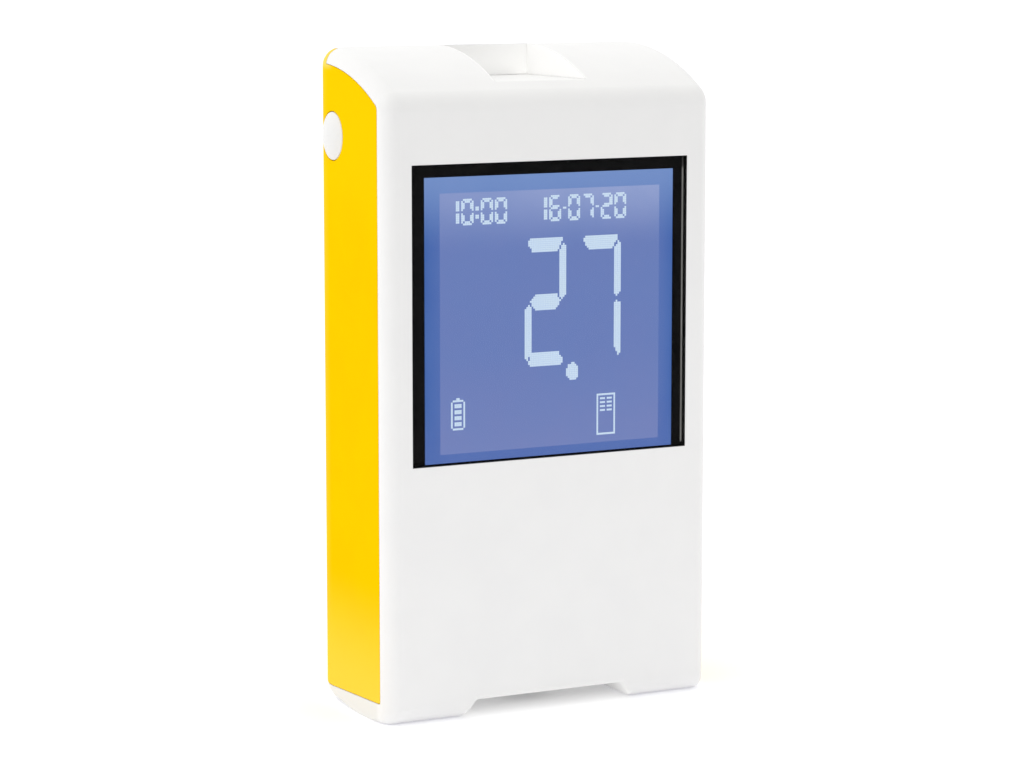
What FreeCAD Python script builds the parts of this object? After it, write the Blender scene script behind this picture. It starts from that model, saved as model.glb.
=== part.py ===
import FreeCAD, Part
import math
import os
import Sketcher

# A hand-sized home blood-test meter that stands on two feet.
# Frame: millimetres, +Z up, x across the front, the front face looks along -Y.
# Origin: centre of the footprint, on the plane that the feet rest on.

os.makedirs("parts", exist_ok=True)
Vector = FreeCAD.Vector
Rotation = FreeCAD.Rotation
Placement = FreeCAD.Placement

doc = FreeCAD.newDocument("Meter")

# ------------------------------------------------------------------ driving sizes
SIZES = (
    # outer body
    ("body_width", 65.5, "overall width"),
    ("body_depth", 33.5, "overall depth"),
    ("body_height", 119.0, "overall height"),
    ("crown_radius", 50.0, "radius of the crowned top, seen from the side"),
    ("crown_back", 27.5, "centre of the crown, behind the front face"),
    ("brow_radius", 4.0, "rounding from the front face into the crown"),
    ("toe_radius", 3.2, "rounding of the front edge at the base"),
    ("rear_corner", 9.5, "radius of the two upright edges at the back"),
    ("rear_inner", 5.4, "inside radius of the two upright edges at the back"),
    ("edge_round", 3.0, "rounding of the front and top side edges"),
    ("rear_top_round", 6.0, "rounding of the top edge at the back"),
    ("foot_round", 1.4, "rounding of the side edges at the base, at the front"),
    ("foot_rear", 2.4, "rounding of the side edges at the base, at the rear"),
    ("rear_foot_round", 5.0, "rounding of the back edge at the base"),
    # walls
    ("front_wall", 2.2, "thickness of the front wall"),
    ("wall", 2.0, "thickness of the other walls"),
    ("inner_round", 1.0, "inside rounding of the side edges"),
    ("sole", 2.2, "height of the cavity floor over the feet"),
    ("floor_top", 6.0, "height of the cavity floor over the arch"),
    ("foot_inner", 20.3, "inner side of the hollow in each foot"),
    # parting line between the shells
    ("seam_front", 3.0, "parting line behind the front face"),
    ("seam_inset", 2.7, "parting line inside the crown"),
    ("seam_rear", 24.4, "end of the white top at the sides, behind the front face"),
    ("top_rear", 29.5, "end of the white top in the middle, behind the front face"),
    ("top_side", 2.4, "yellow edge beside the rear of the white top"),
    ("top_corner", 4.5, "rear corners of the white top"),
    ("seam_base", 2.75, "height of the parting line at the back"),
    ("seam_toe", 3.65, "height of the parting line at the front"),
    ("seam_gap", 0.1, "gap between the two shells"),
    ("seam_knee", 1.25, "corner of the parting line below the brow"),
    ("seam_heel", 0.6, "corner of the parting line above the toe"),
    # arch under the base
    ("arch_foot", 17.0, "half width of the arch at the base"),
    ("arch_crown", 14.85, "half width of the arch at its ceiling"),
    ("arch_height", 3.12, "height of the arch"),
    ("arch_corner", 1.1, "rounding of the arch's upper corners"),
    ("arch_rim", 1.0, "rounding of the arch's front edge"),
    # window and display
    ("window_half", 27.55, "half width of the window opening"),
    ("window_low", 46.2, "lower edge of the window opening"),
    ("window_high", 99.4, "upper edge of the window opening"),
    ("window_fit", 0.05, "gap round the window"),
    ("window_thick", 0.8, "thickness of the window"),
    ("bond_thick", 0.1, "thickness of the black bond frame"),
    ("bond_left", 2.75, "width of the bond frame at the left"),
    ("bond_right", 2.45, "width of the bond frame at the right"),
    ("bond_top", 2.3, "width of the bond frame at the top"),
    ("bond_low", 0.3, "width of the bond frame at the bottom"),
    ("ledge_side", 1.25, "ledge behind the window, at the sides and top"),
    ("glass_half", 25.9, "half width of the display glass"),
    ("glass_low", 46.35, "lower edge of the display glass"),
    ("glass_high", 97.7, "upper edge of the display glass"),
    ("glass_depth", 1.1, "front of the display glass behind the front face"),
    ("glass_thick", 2.1, "thickness of the display glass"),
    ("guide_thick", 2.5, "thickness of the light guide"),
    ("carrier_low", 44.6, "lower edge of the display carrier"),
    ("carrier_high", 100.4, "upper edge of the display carrier"),
    ("carrier_half", 28.7, "half width of the display carrier"),
    ("carrier_rim", 2.0, "thickness of the carrier's rim"),
    # chip port
    ("port_half", 9.15, "half width of the chip port"),
    ("port_floor", 113.3, "height of the port's floor"),
    ("port_back", 27.5, "back wall of the port behind the front face"),
    ("port_wall", 1.2, "thickness of the port's walls"),
    ("port_sole", 1.5, "thickness of the port's floor"),
    ("slot_half", 6.6, "half width of the chip slot"),
    ("slot_wide", 1.6, "width of the chip slot"),
    ("slot_gap", 0.2, "distance from the slot to the port's back wall"),
    # buttons
    ("button_y", 5.6, "buttons, behind the middle of the depth"),
    ("button_z", 103.4, "height of the buttons"),
    ("button_radius", 4.3, "radius of a button"),
    ("button_hole", 4.45, "radius of its hole"),
    ("button_proud", 0.75, "crown of a button above the side panel"),
    ("button_rim", -0.1, "rim of a button above the side panel, less than zero below it"),
    ("flange_radius", 5.15, "radius of the flange that retains a button"),
    ("stem_radius", 1.6, "radius of the button's stem"),
    ("dish_radius", 30.0, "spherical radius of the dish round a button"),
    ("dish_rim", 5.6, "radius of the dish at the side panel"),
    ("travel", 0.5, "travel of a button"),
    # boards
    ("board_half", 30.0, "half width of the main board"),
    ("board_low", 6.6, "lower edge of the main board's tongue"),
    ("board_high", 101.6, "upper edge of the main board"),
    ("board_front", -8.75, "front face of the main board"),
    ("board_thick", 1.2, "thickness of the main board"),
    # battery
    ("cell_half", 17.0, "half width of the battery"),
    ("cell_low", 22.0, "lower end of the battery"),
    ("cell_high", 72.0, "upper end of the battery"),
    ("cell_front", 3.75, "front of the battery"),
    ("cell_back", 13.75, "back of the battery"),
    # screws
    ("upper_screw_x", 18.5, "upper housing screws, from the middle"),
    ("upper_screw_z", 105.5, "upper housing screws, height"),
    ("lower_screw_x", 21.5, "lower housing screws, from the middle"),
    ("lower_screw_z", 12.0, "lower housing screws, height"),
    ("split_y", 1.0, "where the screw bosses of the shells meet"),
    ("seat_thick", 1.6, "material under a housing screw's head"),
    ("counterbore", 2.6, "radius of the recess over a housing screw"),
)

sheet = doc.addObject("Spreadsheet::Sheet", "dims")
for row, (alias, number, note) in enumerate(SIZES, 1):
    sheet.set("A%d" % row, note)
    sheet.set("B%d" % row, repr(number))
    sheet.setAlias("B%d" % row, alias)
doc.recompute()


class Size:
    """A length worked out from the sheet: its number and the expression that gives it."""

    def __init__(self, value, text):
        self.value = value
        self.text = text

    @staticmethod
    def of(other):
        return other if isinstance(other, Size) else Size(float(other), repr(float(other)))

    def __add__(self, other):
        o = Size.of(other)
        return Size(self.value + o.value, "(%s + %s)" % (self.text, o.text))

    def __radd__(self, other):
        return Size.of(other) + self

    def __sub__(self, other):
        o = Size.of(other)
        return Size(self.value - o.value, "(%s - %s)" % (self.text, o.text))

    def __rsub__(self, other):
        return Size.of(other) - self

    def __mul__(self, other):
        o = Size.of(other)
        return Size(self.value * o.value, "(%s * %s)" % (self.text, o.text))

    def __rmul__(self, other):
        return Size.of(other) * self

    def __truediv__(self, other):
        o = Size.of(other)
        return Size(self.value / o.value, "(%s / %s)" % (self.text, o.text))

    def __neg__(self):
        return Size(-self.value, "(0 - %s)" % self.text)


def root(size):
    return Size(math.sqrt(size.value), "sqrt(%s)" % size.text)


class Sheet:
    def __getattr__(self, alias):
        return Size(float(sheet.get(alias)), "dims." + alias)


d = Sheet()


def num(size):
    return size.value if isinstance(size, Size) else float(size)


def bind(obj, prop, size):
    """Gives a property its number, and its expression where it has one."""
    if "." not in prop:
        setattr(obj, prop, num(size))
    if isinstance(size, Size):
        obj.setExpression(prop, size.text)


def put(obj, x, y, z, turn=Rotation()):
    obj.Placement = Placement(Vector(num(x), num(y), num(z)), turn)
    for axis, size in zip("xyz", (x, y, z)):
        bind(obj, "Placement.Base." + axis, size)


TURN = {"x": Rotation(Vector(0, 1, 0), 90), "y": Rotation(Vector(1, 0, 0), -90), "z": Rotation(),
        "-x": Rotation(Vector(0, 1, 0), -90), "-y": Rotation(Vector(1, 0, 0), 90),
        "-z": Rotation(Vector(1, 0, 0), 180)}


# ------------------------------------------------------------------ solids
def block(name, x0, x1, y0, y1, z0, z1):
    b = doc.addObject("Part::Box", name)
    bind(b, "Length", x1 - x0)
    bind(b, "Width", y1 - y0)
    bind(b, "Height", z1 - z0)
    put(b, x0, y0, z0)
    return b


def rod(name, way, x, y, z, radius, length):
    c = doc.addObject("Part::Cylinder", name)
    bind(c, "Radius", radius)
    bind(c, "Height", length)
    put(c, x, y, z, TURN[way])
    return c


def taper(name, way, x, y, z, radius0, radius1, length):
    c = doc.addObject("Part::Cone", name)
    bind(c, "Radius1", radius0)
    bind(c, "Radius2", radius1)
    bind(c, "Height", length)
    put(c, x, y, z, TURN[way])
    return c


def fuse(name, *solids):
    f = doc.addObject("Part::MultiFuse", name)
    f.Shapes = list(solids)
    f.Refine = True
    return f


def group(name, *solids):
    g = doc.addObject("Part::Compound", name)
    g.Links = list(solids)
    return g


def cut(name, base, *tools):
    c = doc.addObject("Part::Cut", name)
    c.Base = base
    c.Tool = tools[0] if len(tools) == 1 else fuse(name + "_tools", *tools)
    c.Refine = True
    return c


def common(name, first, second):
    c = doc.addObject("Part::Common", name)
    c.Base = first
    c.Tool = second
    c.Refine = True
    return c


def rounded(name, base, groups):
    """Part fillet: groups are (edge test, radius at its start, radius at its end)."""
    doc.recompute()
    edges = []
    for test, r0, r1 in groups:
        found = [i for i, e in enumerate(base.Shape.Edges, 1) if test(e.BoundBox)]
        if not found:
            raise RuntimeError("%s: an edge test found nothing" % name)
        edges += [(i, num(r0), num(r1)) for i in found]
    f = doc.addObject("Part::Fillet", name)
    f.Base = base
    f.Edges = edges
    doc.recompute()
    if f.Shape.isNull() or not f.Shape.isValid():
        raise RuntimeError("%s: the rounding failed" % name)
    return f


# ------------------------------------------------------------------ sketches
def fix(sketch, geo, pos, x, y):
    for kind, axis, size in (("DistanceX", -2, x), ("DistanceY", -1, y)):
        if abs(num(size)) < 1e-9:
            sketch.addConstraint(Sketcher.Constraint("PointOnObject", geo, pos, axis))
        else:
            i = sketch.addConstraint(Sketcher.Constraint(kind, -1, 1, geo, pos, num(size)))
            if isinstance(size, Size):
                sketch.setExpression("Constraints[%d]" % i, size.text)


def contour(sketch, points):
    """A closed outline. Each point is (x, y), or (x, y, cx, cy, radius) where the stretch
    that leaves it is an arc about (cx, cy). Every corner is held by its two coordinates."""
    n = len(points)
    first = sketch.GeometryCount
    ends = []
    for i, p in enumerate(points):
        q = points[(i + 1) % n]
        a = Vector(num(p[0]), num(p[1]), 0)
        b = Vector(num(q[0]), num(q[1]), 0)
        if len(p) == 2:
            sketch.addGeometry(Part.LineSegment(a, b), False)
            ends.append((1, 2))
        else:
            c = Vector(num(p[2]), num(p[3]), 0)
            u, v = a - c, b - c
            ccw = u.x * v.y - u.y * v.x > 0
            s, e = (u, v) if ccw else (v, u)
            a0, a1 = math.atan2(s.y, s.x), math.atan2(e.y, e.x)
            if a1 < a0:
                a1 += 2 * math.pi
            circle = Part.Circle(c, Vector(0, 0, 1), num(p[4]))
            sketch.addGeometry(Part.ArcOfCircle(circle, a0, a1), False)
            ends.append((1, 2) if ccw else (2, 1))
    for i in range(n):
        j = (i + 1) % n
        sketch.addConstraint(Sketcher.Constraint("Coincident", first + i, ends[i][1], first + j, ends[j][0]))
    for i, p in enumerate(points):
        fix(sketch, first + i, ends[i][0], p[0], p[1])
        if len(p) > 2:
            k = sketch.addConstraint(Sketcher.Constraint("Radius", first + i, num(p[4])))
            if isinstance(p[4], Size):
                sketch.setExpression("Constraints[%d]" % k, p[4].text)


def rectangle(sketch, x0, x1, y0, y1):
    contour(sketch, [(x0, y0), (x1, y0), (x1, y1), (x0, y1)])


def ring(sketch, x, y, radius):
    g = sketch.addGeometry(Part.Circle(Vector(num(x), num(y), 0), Vector(0, 0, 1), num(radius)), False)
    fix(sketch, g, 3, x, y)
    k = sketch.addConstraint(Sketcher.Constraint("Radius", g, num(radius)))
    if isinstance(radius, Size):
        sketch.setExpression("Constraints[%d]" % k, radius.text)


PLANE = {"YZ": Rotation(Vector(1, 1, 1), 120), "XZ": Rotation(Vector(1, 0, 0), 90), "XY": Rotation()}
NORMAL = {"YZ": Vector(1, 0, 0), "XZ": Vector(0, -1, 0), "XY": Vector(0, 0, 1)}


def prism(name, plane, points, length):
    """An outline on a main plane, drawn out evenly to both sides of it."""
    s = doc.addObject("Sketcher::SketchObject", name + "_outline")
    s.Placement = Placement(Vector(0, 0, 0), PLANE[plane])
    contour(s, points)
    e = doc.addObject("Part::Extrusion", name)
    e.Base = s
    e.DirMode = "Custom"
    e.Dir = NORMAL[plane]
    e.Symmetric = True
    e.Solid = True
    bind(e, "LengthFwd", length)
    return e


def body(name):
    b = doc.addObject("PartDesign::Body", name)
    b.Label = name
    return b


def sketch_on(owner, plane, offset, name):
    s = owner.newObject("Sketcher::SketchObject", name)
    role = plane + "_Plane"
    s.AttachmentSupport = [([f for f in owner.Origin.OriginFeatures if f.Role == role][0], "")]
    s.MapMode = "FlatFace"
    s.AttachmentOffset = Placement(Vector(0, 0, num(offset)), Rotation())
    bind(s, "AttachmentOffset.Base.z", offset)
    return s


def volume(owner):
    doc.recompute()
    return owner.Shape.Volume


def slab(owner, y0, y1, draw, name="slab"):
    """Adds material between two depths; draw puts the outline (x, z) on the sketch."""
    s = sketch_on(owner, "XZ", -y1, owner.Name + "_" + name + "_sketch")
    draw(s)
    p = owner.newObject("PartDesign::Pad", owner.Name + "_" + name)
    p.Profile = s
    bind(p, "Length", y1 - y0)
    return p


def sink(owner, y0, y1, draw, name="sink"):
    """Takes material away between two depths."""
    before = volume(owner)
    s = sketch_on(owner, "XZ", -y0, owner.Name + "_" + name + "_sketch")
    draw(s)
    p = owner.newObject("PartDesign::Pocket", owner.Name + "_" + name)
    p.Profile = s
    bind(p, "Length", y1 - y0)
    if volume(owner) > before - 1e-3:
        raise RuntimeError("%s: %s took nothing away" % (owner.Name, name))
    return p


def turned(owner, points, name="turned"):
    """A solid of revolution about the body's own X axis, from an outline (x, radius)."""
    s = sketch_on(owner, "XY", 0.0, owner.Name + "_" + name + "_sketch")
    contour(s, points)
    r = owner.newObject("PartDesign::Revolution", owner.Name + "_" + name)
    r.Profile = s
    r.ReferenceAxis = (s, ["H_Axis"])
    r.Angle = 360
    return r


def soften(owner, test, radius, name="soften"):
    """Rounds the edges of the body's tip that pass the test."""
    doc.recompute()
    tip = owner.Tip
    names = ["Edge%d" % i for i, e in enumerate(tip.Shape.Edges, 1) if test(e.BoundBox)]
    if not names:
        raise RuntimeError("%s: no edge to round" % owner.Name)
    f = owner.newObject("PartDesign::Fillet", owner.Name + "_" + name)
    f.Base = (tip, names)
    bind(f, "Radius", radius)
    doc.recompute()
    return f


def ribbon(name, axis, path, thickness, lo, hi):
    """A thin strip that follows a path in a plane and is as wide as lo to hi along the axis."""
    left, right = [], []
    for i, p in enumerate(path):
        a = path[max(i - 1, 0)]
        b = path[min(i + 1, len(path) - 1)]
        n1 = Vector(p[0] - a[0], p[1] - a[1], 0) if i else Vector(b[0] - p[0], b[1] - p[1], 0)
        n2 = Vector(b[0] - p[0], b[1] - p[1], 0) if i < len(path) - 1 else n1
        n1 = Vector(-n1.y, n1.x, 0).normalize()
        n2 = Vector(-n2.y, n2.x, 0).normalize()
        m = (n1 + n2)
        m = m * (thickness / 2 * 2 / (m.Length ** 2))
        left.append((p[0] + m.x, p[1] + m.y))
        right.append((p[0] - m.x, p[1] - m.y))
    loop = left + right[::-1]
    if axis == "x":
        pts = [Vector(lo, u, v) for u, v in loop]
        way = Vector(hi - lo, 0, 0)
    else:
        pts = [Vector(u, v, lo) for u, v in loop]
        way = Vector(0, 0, hi - lo)
    solid = Part.Face(Part.makePolygon(pts + pts[:1])).extrude(way)
    f = doc.addObject("Part::Feature", name)
    f.Shape = solid
    f.Placement = Placement()
    return f


PIECES = {}


def piece(name, obj):
    obj.Label = name
    PIECES[name] = obj
    return obj


# ------------------------------------------------------------------ main planes
half = d.body_width / 2
front = -d.body_depth / 2
back = d.body_depth / 2
axis_y = front + d.crown_back
axis_z = d.body_height - d.crown_radius
inner_half = half - d.wall
inner_front = front + d.front_wall
inner_back = back - d.wall


def on_crown(radius, y):
    """Height of a crown arc of this radius at depth y."""
    return axis_z + root(radius * radius - (y - axis_y) * (y - axis_y))


def crowned(name, width, y0, y1, z0, crown, brow, toe, rear, edge, rear_top, foot=None, foot_rear=None,
            rear_foot=None):
    """A block with a crowned top: the side view is drawn out across the width, the upright
    back edges are rounded, and the edges of one half get their own radii before it is mirrored."""
    by = y0 + brow
    bz = axis_z + root((crown - brow) * (crown - brow) - (axis_y - by) * (axis_y - by))
    ty = axis_y + (by - axis_y) * crown / (crown - brow)
    tz = axis_z + (bz - axis_z) * crown / (crown - brow)
    raw = prism(name + "_side", "YZ", [
        (y0, z0 + toe),
        (y0, bz, by, bz, brow),
        (ty, tz, axis_y, axis_z, crown),
        (y1, on_crown(crown, y1)),
        (y1, z0),
        (y0 + toe, z0, y0 + toe, z0 + toe, toe),
    ], width * 2)
    near = 1e-3
    w, f, b, zb = num(width), num(y0), num(y1), num(z0)
    tall = rounded(name + "_upright", raw, [
        (lambda q: q.YMin > b - near and q.ZLength > 50, rear, rear)])
    side = block(name + "_left_side", -width - 5, 0.0, y0 - 5, y1 + 5, z0 - 5, d.body_height + 5)
    halved = common(name + "_half", tall, side)
    top_y = num(ty)
    top_z = num(tz)
    crown_back = num(on_crown(crown, y1))
    inner = -w + num(rear)
    sets = [
        (lambda q: q.XMax < -w + near and q.YMax < f + near and q.ZLength > 50, edge, edge),
        (lambda q: q.XMax < -w + near and q.ZMin > num(bz) - near and q.ZMax < top_z + near
         and q.YMax < top_y + near and q.ZLength > 0.5, edge, edge),
        (lambda q: q.XMax < -w + near and q.ZMin > top_z - near and q.YLength > 10, edge, edge),
        (lambda q: q.XMin < -w + near and abs(q.XMax - inner) < near and q.ZMin > crown_back - near,
         edge, rear_top),
        (lambda q: q.YMin > b - near and q.ZMin > crown_back - near and q.XLength > 20, rear_top, rear_top),
    ]
    if foot is not None:
        sets += [
            (lambda q: q.XMax < -w + near and q.ZMax < zb + num(toe) + near and q.ZLength > num(toe) - near,
             foot, edge),
            (lambda q: q.XMax < -w + near and q.ZMax < zb + near and q.YLength > 10, foot_rear, foot),
            (lambda q: q.XMin < -w + near and abs(q.XMax - inner) < near and q.ZMax < zb + near
             and q.YMax > b - near, rear_foot, foot_rear),
            (lambda q: q.YMin > b - near and q.ZMax < zb + near and q.XLength > 20, rear_foot, rear_foot),
        ]
    left = rounded(name + "_left", halved, sets)
    right = doc.addObject("Part::Mirroring", name + "_right")
    right.Source = left
    right.Base = Vector(0, 0, 0)
    right.Normal = Vector(1, 0, 0)
    return fuse(name, left, right)


outer = crowned("outer", half, front, back, Size(0.0, "0"), d.crown_radius, d.brow_radius, d.toe_radius,
                d.rear_corner, d.edge_round, d.rear_top_round, d.foot_round, d.foot_rear, d.rear_foot_round)
hollow = crowned("hollow", inner_half, inner_front, inner_back, d.sole, d.crown_radius - d.wall, d.brow_radius / 2,
                 d.toe_radius - d.front_wall, d.rear_inner, d.inner_round, d.rear_top_round - d.wall)

# the cavity stands higher between the feet, over the arch
sill = block("sill", -d.foot_inner, d.foot_inner, inner_front - 1, inner_back + 1, 0.0, d.floor_top)
cavity = cut("cavity", hollow, sill)
shell = cut("shell", outer, cavity)


# ------------------------------------------------------------------ parting of the shells
def seam(name, gap):
    """What lies inside the parting line: side panels and back."""
    y0 = front + d.seam_front + gap
    y1 = front + d.seam_rear + gap
    crown = d.crown_radius - d.seam_inset - gap
    raw = prism(name + "_raw", "YZ", [
        (y0, d.seam_toe + gap),
        (y0, on_crown(crown, y0), axis_y, axis_z, crown),
        (y1, on_crown(crown, y1)),
        (y1, d.body_height + 6),
        (back + 8, d.body_height + 6),
        (back + 8, d.seam_base + gap),
        (back - d.rear_corner, d.seam_base + gap),
    ], d.body_width + 20)
    near = 1e-3
    # the white top runs further back between its two rear corners
    yt = front + d.top_rear + gap
    r = d.top_corner + gap
    top_raw = block(name + "_top_raw", -half + d.top_side - gap, half - d.top_side + gap,
                    front + d.seam_front + 4, yt, d.body_height - 8, d.body_height + 8)
    top = rounded(name + "_top", top_raw, [
        (lambda q: q.YMin > num(yt) - near and q.ZLength > 10, r, r)])
    raw = cut(name + "_open", raw, top)
    knee = num(on_crown(crown, y0))
    heel = num(d.seam_toe + gap)
    return rounded(name, raw, [
        (lambda q: q.YMax < num(y0) + near and q.ZLength < near and abs(q.ZMin - knee) < near, d.seam_knee, d.seam_knee),
        (lambda q: q.YMax < num(y0) + near and q.ZLength < near and abs(q.ZMin - heel) < near, d.seam_heel, d.seam_heel),
    ])


def inside_base(name, gap):
    """The room between the side panels and the back, at floor level."""
    raw = block(name + "_raw", -inner_half + gap, inner_half - gap, front - 2, inner_back - gap, -1.0, 60.0)
    near = 1e-3
    yb = num(inner_back - gap)
    r = d.rear_inner - gap
    return rounded(name, raw, [(lambda q: q.YMin > yb - near and q.ZLength > 50, r, r)])


seam_white = seam("seam_white", Size(0.0, "0"))
seam_yellow = seam("seam_yellow", d.seam_gap)
room_white = inside_base("room_white", d.seam_gap)
room_yellow = inside_base("room_yellow", Size(0.0, "0"))

arch_raw = prism("arch_raw", "XZ", [
    (-d.arch_foot - d.arch_foot + d.arch_crown, -d.arch_height),
    (d.arch_foot + d.arch_foot - d.arch_crown, -d.arch_height),
    (d.arch_crown, d.arch_height),
    (-d.arch_crown, d.arch_height),
], d.body_depth + 20)
arch = rounded("arch", arch_raw, [
    (lambda q: q.ZMin > num(d.arch_height) - 1e-3 and q.YLength > 20, d.arch_corner, d.arch_corner)])

# ------------------------------------------------------------------ front shell
port_back_y = front + d.port_back
port_block = block("port_block", -d.port_half - d.port_wall, d.port_half + d.port_wall,
                   front + 4.3, port_back_y + d.port_wall, d.port_floor - d.port_sole, d.body_height + 1)
port_tub = common("port_tub", port_block, outer)
port_room = block("port_room", -d.port_half, d.port_half, front - 2, port_back_y, d.port_floor, d.body_height + 3)
slot_back = port_back_y - d.slot_gap
slot_front = slot_back - d.slot_wide
port_slot = block("port_slot", -d.slot_half, d.slot_half, slot_front, slot_back, d.port_floor - 4, d.port_floor + 1)

white_wrap = cut("white_wrap", shell, cut("white_cutter", seam_white, room_white))
front_adds = [white_wrap, port_tub]
front_cuts = [port_room, port_slot, arch]
for tag, sx in (("left", -1), ("right", 1)):
    ux, lx = d.upper_screw_x * sx, d.lower_screw_x * sx
    front_adds.append(rod("upper_boss_" + tag, "y", ux, inner_front - 0.3, d.upper_screw_z, 2.75, d.split_y - inner_front + 0.3))
    front_adds.append(rod("lower_boss_" + tag, "y", lx, inner_front - 0.3, d.lower_screw_z, 3.0, d.split_y - inner_front + 0.3))
    front_cuts.append(rod("upper_pilot_" + tag, "y", ux, d.split_y - 11, d.upper_screw_z, 1.05, 12.0))
    front_cuts.append(rod("lower_pilot_" + tag, "y", lx, d.split_y - 11, d.lower_screw_z, 1.05, 12.0))
    # posts for the lower board screws
    front_adds.append(rod("board_post_" + tag, "y", 25.5 * sx, inner_front - 0.3, 24.0, 2.5, d.board_front - inner_front + 0.3))
    front_cuts.append(rod("board_pilot_" + tag, "y", 25.5 * sx, d.board_front - 4.6, 24.0, 0.8, 5.6))
    # lip that reaches behind the edge of the side panel
    x_out = inner_half - d.seam_gap
    x0, x1 = (-x_out, -x_out + 0.9) if sx < 0 else (x_out - 0.9, x_out)
    front_adds.append(block("lip_" + tag, x0, x1, inner_front - 0.3, front + d.seam_front + 2, 9.0, 104.0))
front_cuts.append(block("window_room", -d.window_half, d.window_half, front - 1, front + d.window_thick + d.bond_thick,
                        d.window_low, d.window_high))
front_cuts.append(block("ledge_room", -d.window_half + d.ledge_side, d.window_half - d.ledge_side, front - 1, inner_front + 1,
                        d.window_low, d.window_high - d.ledge_side + 0.05))
# opening for the charging socket in the arch's ceiling
front_cuts.append(block("socket_mouth", -4.15, 4.15, d.board_front + d.board_thick - 0.3, d.board_front + d.board_thick + 4.25,
                        d.arch_height - 1, d.floor_top + 1))
front_solid = cut("front_solid", fuse("front_sum", *front_adds), *front_cuts)

# ------------------------------------------------------------------ rear shell
yellow_wrap = cut("yellow_wrap", common("yellow_band", shell, seam_yellow), room_yellow)
rear_adds = [yellow_wrap]
rear_cuts = [arch]
cell_rib = 1.2
for tag, sx in (("left", -1), ("right", 1)):
    for level, px, pz in (("upper", d.upper_screw_x * sx, d.upper_screw_z), ("lower", d.lower_screw_x * sx, d.lower_screw_z)):
        start = d.split_y + d.seam_gap
        rear_adds.append(rod("%s_post_%s" % (level, tag), "y", px, start, pz, 3.75, inner_back - start + 0.3))
        rear_cuts.append(rod("%s_counterbore_%s" % (level, tag), "y", px, start + d.seat_thick, pz, d.counterbore, 20.0))
        rear_cuts.append(rod("%s_clear_%s" % (level, tag), "y", px, start - 1, pz, 1.3, 4.0))
    # grooved ribs that hold the switch board
    inner_x = half - 9.1
    for level, z0, z1, g0, g1 in (("low", 94.4, 97.6, 96.3, 98.0), ("high", 109.2, 112.2, 109.0, 110.5)):
        xa, xb = (-inner_x - 1.5, -inner_x + 2.1) if sx < 0 else (inner_x - 2.1, inner_x + 1.5)
        ga, gb = (-inner_x - 0.1, -inner_x + 1.1) if sx < 0 else (inner_x - 1.1, inner_x + 0.1)
        rib = block("switch_rib_%s_%s_raw" % (level, tag), xa, xb, 0.0, inner_back + 0.3, z0, z1)
        groove = block("switch_groove_%s_%s" % (level, tag), ga, gb, -1.0, inner_back - 1.5, g0, g1)
        rear_adds.append(cut("switch_rib_%s_%s" % (level, tag), rib, groove))
    # ribs beside the battery
    xa, xb = (-d.cell_half - 0.2 - cell_rib, -d.cell_half - 0.2) if sx < 0 else (d.cell_half + 0.2, d.cell_half + 0.2 + cell_rib)
    rear_adds.append(block("cell_rib_" + tag, xa, xb, 9.0, inner_back + 0.3, d.cell_low - 1.4, d.cell_high))
    # bosses for the chip guide
    rear_adds.append(rod("guide_boss_" + tag, "y", 12.5 * sx, 12.8, 89.0, 2.2, inner_back - 12.8 + 0.3))
    rear_cuts.append(rod("guide_pilot_" + tag, "y", 12.5 * sx, 12.0, 89.0, 0.8, 3.7))
    # dish and hole for the button
    deep = root(d.dish_radius * d.dish_radius - d.dish_rim * d.dish_rim)
    dish = doc.addObject("Part::Sphere", "dish_" + tag)
    bind(dish, "Radius", d.dish_radius)
    put(dish, (half + deep) * sx, d.button_y, d.button_z)
    rear_cuts.append(dish)
    rear_cuts.append(rod("button_hole_" + tag, "x", -half - 1 if sx < 0 else half - 4, d.button_y, d.button_z, d.button_hole, 5.0))
rear_adds.append(block("cell_rib_low", -d.cell_half - 1.4, d.cell_half + 1.4, 9.0, inner_back + 0.3, d.cell_low - 1.4, d.cell_low - 0.2))
rear_cuts.append(block("port_clear", -d.port_half - d.port_wall - d.seam_gap, d.port_half + d.port_wall + d.seam_gap,
                       front + 4, port_back_y + d.port_wall + d.seam_gap, d.port_floor - d.port_sole - 0.1, d.body_height + 5))
# bare recess for a plate on the back
rear_cuts.append(block("plate_recess", -22.5, 22.5, back - 0.3, back + 5, 44.0, 84.0))
rear_solid = cut("rear_solid", fuse("rear_sum", *rear_adds), *rear_cuts)

rim_top = num(d.arch_height)
front_rounded = rounded("front_rounded", front_solid, [
    (lambda q: q.YMax < num(front) + 0.6 and q.XLength > 20 and abs(q.ZMin - rim_top) < 1e-3 and q.ZLength < 1e-3,
     d.arch_rim, d.arch_rim)])
piece("front_shell", front_rounded)
piece("rear_shell", rear_solid)

# ------------------------------------------------------------------ window and display
wf = d.window_fit
window = body("display_window")
slab(window, front, front + d.window_thick, lambda s: rectangle(
    s, -d.window_half + wf, d.window_half - wf, d.window_low + wf, d.window_high - wf))
piece("display_window", window)

bond = body("window_bond")
bond_y = front + d.window_thick
slab(bond, bond_y, bond_y + d.bond_thick, lambda s: rectangle(
    s, -d.window_half + wf, d.window_half - wf, d.window_low + wf, d.window_high - wf))
sink(bond, bond_y - 0.1, bond_y + d.bond_thick + 0.1, lambda s: rectangle(
    s, -d.window_half + d.bond_left, d.window_half - d.bond_right, d.window_low + d.bond_low, d.window_high - d.bond_top))
piece("window_bond", bond)

glass_front = front + d.glass_depth
glass_back = glass_front + d.glass_thick
glass = body("lcd_glass")
slab(glass, glass_front, glass_back, lambda s: rectangle(s, -d.glass_half, d.glass_half, d.glass_low, d.glass_high))
piece("lcd_glass", glass)

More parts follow.
